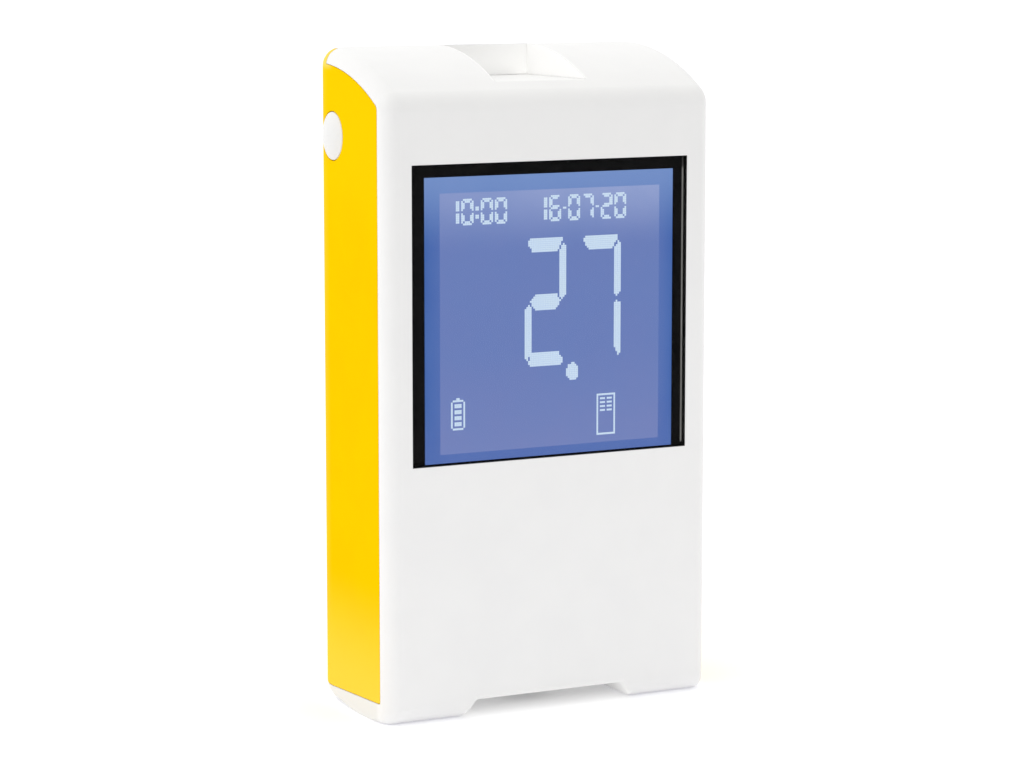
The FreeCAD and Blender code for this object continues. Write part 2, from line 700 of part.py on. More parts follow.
guide_front = glass_back + 0.1
guide_back = guide_front + d.guide_thick
light_guide = body("lcd_light_guide")
slab(light_guide, guide_front, guide_back, lambda s: rectangle(
    s, -d.glass_half - 0.6, d.glass_half + 0.6, d.window_low + 0.2, d.glass_high + 0.5))
piece("lcd_light_guide", light_guide)

carrier = body("lcd_carrier")
carrier_front = inner_front + 0.1
carrier_back = d.board_front - 0.1
rim = d.carrier_half - d.carrier_rim
slab(carrier, carrier_front, carrier_back, lambda s: rectangle(
    s, -d.carrier_half, d.carrier_half, d.carrier_low, d.carrier_high))
slab(carrier, carrier_front, carrier_back, lambda s: (ring(s, 28.0, 99.6, 1.6), ring(s, -28.0, 99.6, 1.6)), "ears")
sink(carrier, carrier_front - 0.5, guide_back + 0.1, lambda s: rectangle(
    s, -rim, rim, d.window_low, d.glass_high + 0.7), "display_pocket")
sink(carrier, guide_back + 0.8, carrier_back + 0.5, lambda s: rectangle(
    s, -rim, rim, d.window_low, d.glass_high + 0.7), "back_pocket")
sink(carrier, guide_back - 0.5, guide_back + 1.5, lambda s: rectangle(s, -20.0, 20.0, 52.0, 92.0), "back_opening")
sink(carrier, carrier_front - 0.5, inner_front + 1.3, lambda s: rectangle(s, -10.0, 10.0, 43.0, 47.0), "flex_notch")
sink(carrier, carrier_front - 0.5, carrier_back + 0.5, lambda s: (ring(s, 28.0, 99.6, 0.8), ring(s, -28.0, 99.6, 0.8)), "pilots")
piece("lcd_carrier", carrier)

piece("lcd_flex", ribbon("lcd_flex", "x", [
    (-14.0, 46.25), (-14.0, 42.9), (-13.6, 42.1), (-9.8, 40.3), (-9.3, 39.6), (-9.3, 38.75)], 0.15, -9.0, 9.0))
piece("lcd_connector", block("lcd_connector", -10.5, 10.5, d.board_front - 1.05, d.board_front - 0.05, 36.0, 38.6))

# ------------------------------------------------------------------ buttons and switches
for tag, sx in (("left", -1), ("right", 1)):
    face = half * sx
    turn = Rotation() if sx < 0 else Rotation(Vector(0, 0, 1), 180)
    # crown of the button: an arc through its rim and its highest point
    rise = d.button_proud - d.button_rim
    lip = 4.1
    dome = (rise * rise + lip * lip) / (rise * 2)
    cap = body(tag + "_button_cap")
    turned(cap, [
        (-d.button_proud, 0.0, dome - d.button_proud, 0.0, dome),
        (-d.button_rim, lip, -d.button_rim + 0.2, lip, 0.2),
        (-d.button_rim + 0.2, d.button_radius),
        (2.25, d.button_radius),
        (2.25, d.flange_radius),
        (3.05, d.flange_radius),
        (3.05, d.stem_radius),
        (4.6, d.stem_radius),
        (4.6, 0.0),
    ])
    # the flange is flat towards the rear, where the shell curves in, which also keeps the button from turning
    s = sketch_on(cap, "YZ", 3.05, cap.Name + "_flat_sketch")
    if sx < 0:
        rectangle(s, d.button_radius, 7.0, -7.0, 7.0)
    else:
        rectangle(s, -7.0, -d.button_radius, -7.0, 7.0)
    p = cap.newObject("PartDesign::Pocket", cap.Name + "_flat")
    p.Profile = s
    p.Length = 0.8
    put(cap, face, d.button_y, d.button_z, turn)
    piece(tag + "_button_cap", cap)

    plunger = body(tag + "_switch_plunger")
    turned(plunger, [(4.65, 0.0), (4.65, 1.0), (4.85, 1.2), (5.9, 1.2), (5.9, 0.0)])
    put(plunger, face, d.button_y, d.button_z, turn)
    piece(tag + "_switch_plunger", plunger)

    switch = body(tag + "_switch_body")
    s = sketch_on(switch, "YZ", 5.6, switch.Name + "_outline")
    rectangle(s, -3.0, 3.0, -3.0, 3.0)
    p = switch.newObject("PartDesign::Pad", switch.Name + "_pad")
    p.Profile = s
    p.Length = 3.4
    soften(switch, lambda q: q.XLength > 3, 0.4)
    before = volume(switch)
    s = sketch_on(switch, "YZ", 6.8, switch.Name + "_bore_sketch")
    ring(s, 0.0, 0.0, 1.3)
    p = switch.newObject("PartDesign::Pocket", switch.Name + "_bore")
    p.Profile = s
    p.Length = 2.0
    if abs(before - volume(switch) - math.pi * 1.3 ** 2 * 1.2) > 0.1:
        raise RuntimeError("switch bore points the wrong way")
    put(switch, face, d.button_y, d.button_z, turn)
    piece(tag + "_switch_body", switch)

    board = body(tag + "_switch_board")
    s = sketch_on(board, "YZ", 9.1, board.Name + "_outline")
    rectangle(s, -6.0, 6.0, -7.0, 7.0)
    p = board.newObject("PartDesign::Pad", board.Name + "_pad")
    p.Profile = s
    p.Length = 1.0
    put(board, face, d.button_y, d.button_z, turn)
    piece(tag + "_switch_board", board)

    edge = -22.57 * -sx
    piece(tag + "_switch_flex", ribbon(tag + "_switch_flex", "z", [
        (edge, 3.0), (edge, -6.8), (edge - 0.6 * sx, -7.4), (edge - 4.0 * sx, -7.4)], 0.12, 99.0, 101.4))

# ------------------------------------------------------------------ main board and what it carries
board_back = d.board_front + d.board_thick
main = body("main_board")
slab(main, d.board_front, board_back, lambda s: contour(s, [
    (-17.0, d.board_low), (17.0, d.board_low), (17.0, 17.2), (d.board_half, 17.2), (d.board_half, d.board_high),
    (-d.board_half, d.board_high), (-d.board_half, 17.2), (-17.0, 17.2)]))
sink(main, d.board_front - 0.5, board_back + 0.5, lambda s: (
    ring(s, 25.5, 24.0, 1.1), ring(s, -25.5, 24.0, 1.1), ring(s, 28.0, 99.6, 1.1), ring(s, -28.0, 99.6, 1.1)), "screw_holes")
piece("main_board", main)


def chip(name, x0, x1, z0, z1, tall, edge=0.15):
    c = body(name)
    slab(c, board_back + 0.02, board_back + 0.02 + tall, lambda s: rectangle(s, x0, x1, z0, z1))
    soften(c, lambda q: q.YMin > num(board_back) + tall - 0.01, edge)
    return c


piece("processor_chip", chip("processor_chip", -8.0, 4.0, 56.0, 68.0, 1.2))
piece("memory_chip", chip("memory_chip", 8.5, 14.5, 58.0, 66.0, 1.0))
piece("regulator_chips", group("regulator_chips", chip("regulator_a", 10.0, 15.0, 20.0, 24.0, 1.3),
                               chip("regulator_b", 10.0, 15.0, 26.0, 30.0, 1.3)))
piece("clock_crystal", chip("clock_crystal", 8.5, 12.5, 50.0, 54.0, 1.1, 0.3))
piece("capacitors", group("capacitors", *[
    chip("capacitor_%d" % i, x - 0.8, x + 0.8, z - 0.5, z + 0.5, 0.8, 0.1)
    for i, (x, z) in enumerate(((-11.0, 58.0), (-11.0, 61.0), (-11.0, 64.0), (-11.0, 67.0), (18.5, 22.0), (18.5, 27.0)), 1)]))

sounder = body("buzzer")
turned(sounder, [(0.0, 0.0), (0.0, 4.5), (2.6, 4.5), (3.0, 4.1), (3.0, 1.0), (2.4, 1.0), (2.4, 0.0)])
put(sounder, 17.0, board_back + 0.02, 40.0, Rotation(Vector(0, 0, 1), 90))
piece("buzzer", sounder)

# charging socket: folded metal shell, open towards the arch, with its insulating insert
sy = board_back + 0.02
socket_outer = block("socket_outer", -3.85, 3.85, sy, sy + 3.95, 4.2, 13.4)
socket_inner = block("socket_inner", -3.55, 3.55, sy + 0.3, sy + 3.65, 3.0, 13.1)
socket_raw = cut("socket_raw", socket_outer, socket_inner)
piece("usb_socket_shell", socket_raw)
insert_block = block("insert_block", -3.5, 3.5, sy + 0.35, sy + 3.6, 10.2, 13.05)
insert_tongue = block("insert_tongue", -2.6, 2.6, sy + 1.4, sy + 2.5, 5.2, 10.4)
piece("usb_socket_insert", fuse("usb_socket_insert", insert_block, insert_tongue))

# ------------------------------------------------------------------ battery
cell = body("battery_pack")
slab(cell, d.cell_front, d.cell_back, lambda s: rectangle(s, -d.cell_half, d.cell_half, d.cell_low, d.cell_high))
soften(cell, lambda q: q.ZLength > 40 and q.XLength < 0.1, 3.0)
piece("battery_pack", cell)
pad = body("battery_foam_pad")
slab(pad, d.cell_back, inner_back - 0.05, lambda s: rectangle(s, -13.0, 13.0, 27.0, 67.0))
piece("battery_foam_pad", pad)
plug_back = board_back + 5.5
piece("battery_connector", block("battery_connector", -10.0, -4.0, board_back + 0.02, plug_back, 78.0, 84.0))
lead_y, lead_z, bend, lead_radius = 8.0, 81.0, 4.05, 0.6
for tag, x in (("positive", -8.0), ("negative", -6.0)):
    rise = rod("lead_rise_" + tag, "z", x, lead_y, d.cell_high, lead_radius, lead_z - bend - d.cell_high)
    elbow = doc.addObject("Part::Torus", "lead_elbow_" + tag)
    elbow.Radius1 = bend
    elbow.Radius2 = lead_radius
    elbow.Angle3 = 90
    # quarter turn from straight up to straight towards the board
    put(elbow, x, lead_y - bend, lead_z - bend, Rotation(Vector(1, 1, 1), 120))
    run = rod("lead_run_" + tag, "-y", x, lead_y - bend, lead_z, lead_radius, lead_y - bend - plug_back)
    piece("battery_lead_" + tag, fuse("battery_lead_" + tag, rise, elbow, run))

# ------------------------------------------------------------------ chip guide, heater and camera
guide_front_y = slot_front - 2.2
guide_back_y = slot_back + 2.2
guide_top = d.port_floor - d.port_sole - 0.2
guide = body("chip_guide")
slab(guide, guide_front_y, guide_back_y, lambda s: rectangle(s, -9.0, 9.0, 84.0, guide_top))
slab(guide, guide_back_y - 1.5, guide_back_y, lambda s: rectangle(s, -14.8, 14.8, 86.2, 91.8), "ears")
slab(guide, -3.05, guide_front_y + 0.5, lambda s: (
    ring(s, 7.2, 90.0, 1.5), ring(s, -7.2, 90.0, 1.5), ring(s, 7.2, 102.0, 1.5), ring(s, -7.2, 102.0, 1.5)), "legs")
sink(guide, slot_front, slot_back, lambda s: rectangle(s, -d.slot_half, d.slot_half, 86.0, guide_top + 1), "chip_channel")
sink(guide, slot_back - 0.1, slot_back + 1.2, lambda s: rectangle(s, -7.1, 7.1, 87.9, 106.1), "heater_pocket")
sink(guide, guide_front_y - 0.5, slot_front + 0.1, lambda s: ring(s, 0.0, 96.0, 3.8), "view_hole")
sink(guide, guide_back_y - 2.0, guide_back_y + 0.5, lambda s: (ring(s, 12.5, 89.0, 1.05), ring(s, -12.5, 89.0, 1.05)), "ear_holes")
sink(guide, -3.55, 1.5, lambda s: (
    ring(s, 7.2, 90.0, 0.65), ring(s, -7.2, 90.0, 0.65), ring(s, 7.2, 102.0, 0.65), ring(s, -7.2, 102.0, 0.65)), "leg_pilots")
piece("chip_guide", guide)

heater = body("heater_plate")
slab(heater, slot_back + 0.1, slot_back + 1.1, lambda s: rectangle(s, -7.0, 7.0, 88.0, 106.0))
piece("heater_plate", heater)

eye = body("camera_board")
slab(eye, -4.25, -3.1, lambda s: rectangle(s, -9.0, 9.0, 88.0, 104.0))
sink(eye, -4.75, -2.6, lambda s: (
    ring(s, 7.2, 90.0, 0.85), ring(s, -7.2, 90.0, 0.85), ring(s, 7.2, 102.0, 0.85), ring(s, -7.2, 102.0, 0.85)), "holes")
piece("camera_board", eye)

sensor = body("camera_sensor")
slab(sensor, -3.08, -2.3, lambda s: rectangle(s, -2.6, 2.6, 93.4, 98.6))
piece("camera_sensor", sensor)

barrel = body("camera_barrel")
turned(barrel, [(0.0, 2.9), (0.0, 3.6), (8.0, 3.6), (8.0, 1.9), (5.6, 1.9), (5.6, 2.9)])
put(barrel, 0.0, -2.25, 96.0, Rotation(Vector(0, 0, 1), 90))
piece("camera_barrel", barrel)

lens = body("camera_lens")
bulge = (1.8 * 1.8 + 0.4 * 0.4) / 0.8
turned(lens, [(5.9, 0.0), (5.9, 1.8), (7.4, 1.8, 7.8 - bulge, 0.0, bulge), (7.8, 0.0)])
put(lens, 0.0, -2.25, 96.0, Rotation(Vector(0, 0, 1), 90))
piece("camera_lens", lens)


def light(name, x, z):
    b = body(name)
    slab(b, -3.08, -1.3, lambda s: rectangle(s, x - 1.2, x + 1.2, z - 1.4, z + 1.4))
    soften(b, lambda q: q.YMin > -1.31, 0.3)
    return b


piece("illumination_lights", group("illumination_lights", light("light_left", -5.4, 96.0), light("light_right", 5.4, 96.0)))

piece("camera_flex", ribbon("camera_flex", "x", [
    (-4.33, 91.0), (-4.33, 87.0), (-4.8, 86.3), (-6.9, 85.6), (-7.4, 84.9), (-7.4, 81.0)], 0.12, -3.0, 3.0))


# ------------------------------------------------------------------ screws
def screw(name, way, x, seat, z, head, head_tall, shank, length):
    """A pan-head screw with a cross recess; way is the side that its head faces."""
    sign = 1.0 if way == "y" else -1.0
    back_way = "-y" if way == "y" else "y"
    cap = rounded(name + "_head", rod(name + "_head_raw", way, x, seat, z, head, head_tall), [
        (lambda q: abs(q.YMin - num(seat) - sign * head_tall) < 1e-3 and abs(q.YMax - num(seat) - sign * head_tall) < 1e-3,
         head_tall * 0.45, head_tall * 0.45)])
    stem = rod(name + "_stem", back_way, x, seat, z, shank, length - shank)
    tip = taper(name + "_tip", back_way, x, seat - sign * (length - shank), z, shank, shank * 0.3, shank)
    deep = head_tall * 0.55
    top = seat + sign * head_tall
    y0, y1 = (top - deep, top + 0.5) if sign > 0 else (top - 0.5, top + deep)
    arm, thin = head * 0.6, head * 0.13
    slot_a = block(name + "_slot_a", x - arm, x + arm, y0, y1, z - thin, z + thin)
    slot_b = block(name + "_slot_b", x - thin, x + thin, y0, y1, z - arm, z + arm)
    return cut(name, fuse(name + "_solid", cap, stem, tip), slot_a, slot_b)


seat = d.split_y + d.seam_gap + d.seat_thick + 0.02
piece("housing_screws", group("housing_screws", *[
    screw("housing_screw_%d" % i, "y", x, seat, z, 2.2, 1.6, 1.0, 11.0)
    for i, (x, z) in enumerate(((-d.upper_screw_x, d.upper_screw_z), (d.upper_screw_x, d.upper_screw_z),
                                (-d.lower_screw_x, d.lower_screw_z), (d.lower_screw_x, d.lower_screw_z)), 1)]))
piece("board_screws", group("board_screws", *[
    screw("board_screw_%d" % i, "y", x, board_back + 0.02, z, 1.7, 1.3, 0.75, 5.0)
    for i, (x, z) in enumerate(((-25.5, 24.0), (25.5, 24.0), (-28.0, 99.6), (28.0, 99.6)), 1)]))
piece("guide_screws", group("guide_screws", *[
    screw("guide_screw_%d" % i, "-y", x, guide_back_y - 1.52, 89.0, 1.7, 1.3, 0.75, 4.2)
    for i, x in enumerate((-12.5, 12.5), 1)]))
piece("camera_screws", group("camera_screws", *[
    screw("camera_screw_%d" % i, "-y", x, Size(-4.27, "-4.27"), z, 1.3, 0.9, 0.6, 4.0)
    for i, (x, z) in enumerate(((-7.2, 90.0), (7.2, 90.0), (-7.2, 102.0), (7.2, 102.0)), 1)]))

# ------------------------------------------------------------------ checks and files
doc.recompute()
for o in doc.Objects:
    bad = [s for s in o.State if s in ("Invalid", "Error")]
    if bad:
        raise RuntimeError("%s is %s" % (o.Name, ", ".join(bad)))
GROUPS = {"regulator_chips": 2, "capacitors": 6, "illumination_lights": 2, "housing_screws": 4, "board_screws": 4,
          "guide_screws": 2, "camera_screws": 4}
for name, obj in PIECES.items():
    shape = obj.Shape
    if shape.isNull() or not shape.isValid():
        raise RuntimeError("%s has no valid shape" % name)
    if len(shape.Solids) != GROUPS.get(name, 1):
        raise RuntimeError("%s has %d solids" % (name, len(shape.Solids)))
    shape.exportStep("parts/%s.step" % name)
    b = shape.BoundBox
    print("%-22s %8.1f mm3  x %.2f..%.2f  y %.2f..%.2f  z %.2f..%.2f" % (
        name, shape.Volume, b.XMin, b.XMax, b.YMin, b.YMax, b.ZMin, b.ZMax))
print(len(PIECES), "pieces")
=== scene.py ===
import math

import bmesh
import bpy
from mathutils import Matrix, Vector


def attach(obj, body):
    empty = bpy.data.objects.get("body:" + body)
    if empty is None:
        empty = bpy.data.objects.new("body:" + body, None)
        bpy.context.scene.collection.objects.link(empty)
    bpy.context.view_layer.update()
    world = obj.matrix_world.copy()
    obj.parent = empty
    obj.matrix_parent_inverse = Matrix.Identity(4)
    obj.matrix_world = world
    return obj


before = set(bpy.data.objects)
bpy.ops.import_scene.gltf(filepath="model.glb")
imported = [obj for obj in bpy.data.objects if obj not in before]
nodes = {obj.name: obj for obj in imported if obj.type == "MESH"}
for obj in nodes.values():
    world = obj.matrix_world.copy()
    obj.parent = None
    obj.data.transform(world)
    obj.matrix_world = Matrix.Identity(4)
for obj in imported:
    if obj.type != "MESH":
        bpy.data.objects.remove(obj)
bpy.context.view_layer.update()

MM = 0.001


# ------------------------------------------------------------------ materials
class Look:
    """A small wrapper that builds one procedural material, with lengths in millimetres."""

    def __init__(self, name):
        self.mat = bpy.data.materials.new(name)
        self.mat.use_nodes = True
        self.tree = self.mat.node_tree
        self.tree.nodes.clear()
        self.out = self.tree.nodes.new("ShaderNodeOutputMaterial")
        self.coord = self.tree.nodes.new("ShaderNodeTexCoord")
        self.scale = self.tree.nodes.new("ShaderNodeMapping")
        self.scale.inputs["Scale"].default_value = (1000.0, 1000.0, 1000.0)
        self.link(self.coord.outputs["Object"], self.scale.inputs["Vector"])
        self.mm = self.scale.outputs["Vector"]

    def link(self, a, b):
        self.tree.links.new(a, b)

    def node(self, kind, **values):
        made = self.tree.nodes.new(kind)
        for key, value in values.items():
            setattr(made, key, value)
        return made

    def give(self, socket, value):
        if isinstance(value, bpy.types.NodeSocket):
            self.link(value, socket)
        else:
            socket.default_value = value

    def math(self, operation, a, b=0.0, c=0.0, clamp=False):
        made = self.node("ShaderNodeMath", operation=operation, use_clamp=clamp)
        for socket, value in zip(made.inputs, (a, b, c)):
            self.give(socket, value)
        return made.outputs[0]

    def vector(self, operation, a, b=None):
        made = self.node("ShaderNodeVectorMath", operation=operation)
        self.give(made.inputs[0], a)
        if b is not None:
            self.give(made.inputs[1], b)
        return made.outputs["Value"] if operation in ("DOT_PRODUCT", "LENGTH") else made.outputs["Vector"]

    def stretch(self, x, y, z, turn=(0.0, 0.0, 0.0)):
        made = self.node("ShaderNodeMapping")
        made.inputs["Scale"].default_value = (x, y, z)
        made.inputs["Rotation"].default_value = turn
        self.link(self.mm, made.inputs["Vector"])
        return made.outputs["Vector"]

    def noise(self, size, detail=2.0, rough=0.5, where=None, distortion=0.0):
        made = self.node("ShaderNodeTexNoise", noise_dimensions="3D")
        made.inputs["Scale"].default_value = 1.0 / size
        made.inputs["Detail"].default_value = detail
        made.inputs["Roughness"].default_value = rough
        made.inputs["Distortion"].default_value = distortion
        self.link(where or self.mm, made.inputs["Vector"])
        return made.outputs["Fac"]

    def cells(self, size, feature="F1", where=None):
        made = self.node("ShaderNodeTexVoronoi", feature=feature)
        made.inputs["Scale"].default_value = 1.0 / size
        self.link(where or self.mm, made.inputs["Vector"])
        return made.outputs["Distance"]

    def span(self, value, a, b, low, high, smooth=False):
        made = self.node("ShaderNodeMapRange", clamp=True)
        if smooth:
            made.interpolation_type = "SMOOTHSTEP"
        self.give(made.inputs["Value"], value)
        made.inputs["From Min"].default_value = a
        made.inputs["From Max"].default_value = b
        made.inputs["To Min"].default_value = low
        made.inputs["To Max"].default_value = high
        return made.outputs["Result"]

    def blend(self, share, a, b, kind="MIX"):
        made = self.node("ShaderNodeMix", data_type="RGBA", blend_type=kind)
        self.give(made.inputs["Factor"], share)
        for socket, value in ((made.inputs[6], a), (made.inputs[7], b)):
            if isinstance(value, tuple) and len(value) == 3:
                value = (*value, 1.0)
            self.give(socket, value)
        return made.outputs[2]

    def bump(self, height, depth, strength=1.0, after=None):
        made = self.node("ShaderNodeBump")
        made.inputs["Strength"].default_value = strength
        made.inputs["Distance"].default_value = depth * MM
        self.link(height, made.inputs["Height"])
        if after is not None:
            self.link(after, made.inputs["Normal"])
        return made.outputs["Normal"]

    def soft_edge(self, radius):
        """The surface normal, rounded over at edges by radius."""
        made = self.node("ShaderNodeBevel", samples=6)
        made.inputs["Radius"].default_value = radius * MM
        return made.outputs["Normal"]

    def edge(self, radius):
        """1 on the flats, less within radius of an edge."""
        rounded = self.soft_edge(radius)
        plain = self.node("ShaderNodeNewGeometry").outputs["Normal"]
        return self.vector("DOT_PRODUCT", rounded, plain)

    def shader(self, **values):
        made = self.node("ShaderNodeBsdfPrincipled")
        for key, value in values.items():
            socket = made.inputs[key.replace("_", " ")]
            if isinstance(value, tuple) and len(value) == 3 and socket.type == "RGBA":
                value = (*value, 1.0)
            self.give(socket, value)
        return made

    def end(self, shader):
        self.link(shader.outputs[0], self.out.inputs["Surface"])
        return self.mat

    def axes(self):
        made = self.node("ShaderNodeSeparateXYZ")
        self.link(self.mm, made.inputs[0])
        return made.outputs["X"], made.outputs["Y"], made.outputs["Z"]


def moulded(name, pale, deep, rough, grain, grain_depth, mottle=9.0, edge=0.25, worn=None, specular=0.5, lit=None,
            marks=None, sheen=None):
    """Injection-moulded plastic: slow colour drift, fine spark grain, polished edges and faint rubbed patches."""
    k = Look(name)
    drift = k.noise(mottle, 3.0, 0.55)
    tint = k.blend(k.span(drift, 0.35, 0.65, 0.0, 1.0), pale, deep)
    rim = k.span(k.edge(edge * 1.6), 0.80, 0.995, 1.0, 0.0)
    if worn is not None:
        tint = k.blend(k.math("MULTIPLY", rim, 0.35), tint, worn)
    rubbed = k.span(k.noise(5.5, 4.0, 0.6), 0.42, 0.62, 0.0, 1.0)
    hair = k.span(k.noise(0.5, 2.0, 0.5, where=k.stretch(1.0, 0.25, 0.05, (0.25, 0.5, 0.35))), 0.60, 0.74, 0.0, 1.0)
    level = k.math("MULTIPLY_ADD", rubbed, rough * 0.14, rough * 0.93)
    level = k.math("MULTIPLY_ADD", hair, rough * 0.10, level)
    level = k.math("SUBTRACT", level, k.math("MULTIPLY", rim, rough * 0.18))
    height = k.math("ADD", k.noise(grain, 2.0, 0.6), k.math("MULTIPLY", k.cells(grain * 1.7), 0.45))
    normal = k.bump(height, grain_depth, after=k.soft_edge(edge))
    if marks is not None:
        tint = marks(k, tint)
    # lit, where given, is a painted glow standing in for light
    more = {} if lit is None else {"Emission_Color": lit(k), "Emission_Strength": 1.0}
    if sheen is not None:
        more.update(Sheen_Weight=sheen[0], Sheen_Roughness=sheen[1], Sheen_Tint=sheen[2])
    return k.end(k.shader(Base_Color=tint, Roughness=level, Normal=normal, Specular_IOR_Level=specular, **more))


def painted_window_walls(k, tint):
    """Painted shade: the narrow walls around the window are painted near black, standing in for their shade and for the
    pane's side mirroring the black border film.
    """
    x, y, z = k.axes()
    wall = k.math("MULTIPLY", k.span(k.math("ABSOLUTE", x), 27.62, 27.66, 1.0, 0.0),
                  k.math("MULTIPLY", k.span(z, 46.08, 46.12, 0.0, 1.0), k.span(z, 99.48, 99.52, 1.0, 0.0)))
    wall = k.math("MULTIPLY", wall, k.math("MULTIPLY", k.span(y, -16.71, -16.67, 0.0, 1.0), k.span(y, -15.0, -14.9, 1.0, 0.0)))
    return k.blend(wall, tint, (0.004, 0.004, 0.004))


def painted_yellow_reflections(k, tint):
    """Painted reflection: the yellow is paler round its rear corners, most at the top, and just above the base,
    standing in for light caught at grazing angles; it is also a little lighter above z 84.
    """
    x, y, z = k.axes()
    crown_reflection = k.math("MULTIPLY", k.span(z, 114.9, 116.2, 0.0, 1.0, smooth=True), k.span(y, 4.5, 7.2, 0.0, 1.0, smooth=True))
    tint = k.blend(k.span(y, 6.5, 12.0, 0.0, 1.0, smooth=True), tint, (0.955, 0.590, 0.050))
    tint = k.blend(k.math("MULTIPLY", crown_reflection, 0.9), tint, (0.930, 0.790, 0.280))
    tint = k.blend(k.span(z, 84.0, 100.0, 0.0, 0.5, smooth=True), tint, (0.965, 0.620, 0.002))
    # painted reflection of the floor on the yellow just above the base
    return k.blend(k.span(z, 26.0, 3.0, 0.0, 1.0, smooth=True), tint, (0.965, 0.650, 0.055))


def painted_port_glow(k):
    """Painted glow: the walls of the chip port are made to glow, standing in for light there, most on the right wall
    and low at the back.
    """
    x, y, z = k.axes()
    within = k.math("MULTIPLY", k.span(k.math("ABSOLUTE", x), 9.20, 9.50, 1.0, 0.0), k.span(y, 10.8, 11.2, 1.0, 0.0))
    within = k.math("MULTIPLY", within, k.span(z, 113.32, 113.6, 0.0, 1.0))
    back = k.math("MULTIPLY", k.span(y, 10.3, 10.6, 0.0, 1.0),
                  k.math("MULTIPLY_ADD", k.span(x, -9.0, 6.0, 0.0, 1.0), 0.11, k.span(z, 118.0, 113.5, 0.06, 0.16)))
    level = k.math("MAXIMUM", k.math("MULTIPLY", k.span(k.math("ABSOLUTE", x), 8.9, 9.1, 0.0, 1.0), 0.155), back)
    level = k.math("MULTIPLY", within, level)
    # painted glow on the end walls of the arch, near the front, standing in for light there
    foot = k.math("MULTIPLY", k.span(k.math("ABSOLUTE", x), 14.4, 15.4, 0.0, 1.0, smooth=True), k.span(k.math("ABSOLUTE", x), 16.9, 17.3, 1.0, 0.0))
    foot = k.math("MULTIPLY", foot, k.math("MULTIPLY", k.span(z, 3.1, 2.9, 0.0, 1.0), k.span(y, -15.6, -6.0, 0.10, 0.0)))
    foot = k.math("MULTIPLY", foot, k.span(y, -16.3, -15.7, 0.0, 1.0))
    level = k.math("MAXIMUM", level, foot)
    return k.blend(level, (0.0, 0.0, 0.0), (1.0, 1.0, 0.985))


def painted_low_shade(k, tint):
    x, y, z = k.axes()
    # painted shade: a darker band low on each side, below the yellow; the painted window walls are added too
    band = k.math("MULTIPLY", k.span(k.math("ABSOLUTE", x), 30.5, 32.0, 0.0, 1.0, smooth=True),
                  k.math("MULTIPLY", k.span(z, 9.0, 2.0, 0.0, 1.0, smooth=True), k.span(y, -13.5, -11.5, 0.0, 1.0, smooth=True)))
    return k.blend(band, painted_window_walls(k, tint), (0.795, 0.790, 0.760))


def cap_shade(k, tint):
    x, y, z = k.axes()
    # painted shade: the button darkens towards its bottom
    return k.blend(k.span(z, 107.0, 99.0, 0.0, 0.85), tint, (0.735, 0.728, 0.705))


def steel(name, pale, deep, rough, direction=(0.15, 1.0, 1.0)):
    """Plated steel with drawn lines and slight tarnish."""
    k = Look(name)
    lines = k.noise(0.12, 3.0, 0.6, where=k.stretch(*direction))
    stain = k.span(k.noise(2.2, 4.0, 0.6), 0.40, 0.70, 0.0, 1.0)
    tint = k.blend(stain, pale, deep)
    level = k.math("MULTIPLY_ADD", lines, rough * 0.5, rough * 0.75)
    normal = k.bump(lines, 0.012, after=k.soft_edge(0.06))
    return k.end(k.shader(Base_Color=tint, Metallic=1.0, Roughness=level, Normal=normal))


def board(name):
    """Green solder mask over copper tracks, on glass-fibre laminate."""
    k = Look(name)
    x, y, z = k.axes()
    brick = k.node("ShaderNodeTexBrick", offset=0.5, squash=0.7, squash_frequency=3)
    brick.inputs["Scale"].default_value = 0.22
    brick.inputs["Mortar Size"].default_value = 0.035
    brick.inputs["Mortar Smooth"].default_value = 0.1
    flat = k.node("ShaderNodeCombineXYZ")
    k.link(x, flat.inputs[0]); k.link(z, flat.inputs[1])
    k.link(flat.outputs[0], brick.inputs["Vector"])
    track = k.math("SUBTRACT", 1.0, brick.outputs["Fac"])
    pads = k.span(k.cells(2.4), 0.20, 0.24, 1.0, 0.0)
    tint = k.blend(track, (0.012, 0.115, 0.045), (0.018, 0.165, 0.062))
    tint = k.blend(k.math("MULTIPLY", pads, 0.75), tint, (0.60, 0.55, 0.42))
    tint = k.blend(k.span(k.noise(6.0, 3.0), 0.4, 0.7, 0.0, 0.25), tint, (0.006, 0.08, 0.03))
    normal = k.bump(k.math("ADD", track, k.math("MULTIPLY", k.noise(0.2, 2.0), 0.2)), 0.02)
    return k.end(k.shader(Base_Color=tint, Roughness=k.span(k.noise(3.0, 3.0), 0.35, 0.65, 0.22, 0.36), Normal=normal))


def flexible(name):
    """Amber polyimide with fine copper lines under it."""
    k = Look(name)
    lines = k.node("ShaderNodeTexWave", wave_type="BANDS", bands_direction="X")
    lines.inputs["Scale"].default_value = 0.85
    lines.inputs["Distortion"].default_value = 0.0
    k.link(k.mm, lines.inputs["Vector"])
    tint = k.blend(k.span(lines.outputs["Fac"], 0.45, 0.60, 0.0, 1.0), (0.34, 0.13, 0.022), (0.56, 0.25, 0.06))
    tint = k.blend(k.span(k.noise(4.0, 3.0), 0.4, 0.65, 0.0, 0.3), tint, (0.20, 0.08, 0.015))
    normal = k.bump(lines.outputs["Fac"], 0.01)
    return k.end(k.shader(Base_Color=tint, Roughness=k.span(k.noise(1.5, 2.0), 0.3, 0.7, 0.22, 0.34), Normal=normal))


def sponge(name):
    """Closed-cell foam."""
    k = Look(name)
    cell = k.cells(0.45)
    tint = k.blend(k.span(cell, 0.1, 0.6, 0.0, 1.0), (0.020, 0.020, 0.021), (0.075, 0.075, 0.078))
    return k.end(k.shader(Base_Color=tint, Roughness=k.span(k.noise(0.8, 2.0), 0.3, 0.7, 0.80, 0.95), Normal=k.bump(cell, 0.12)))


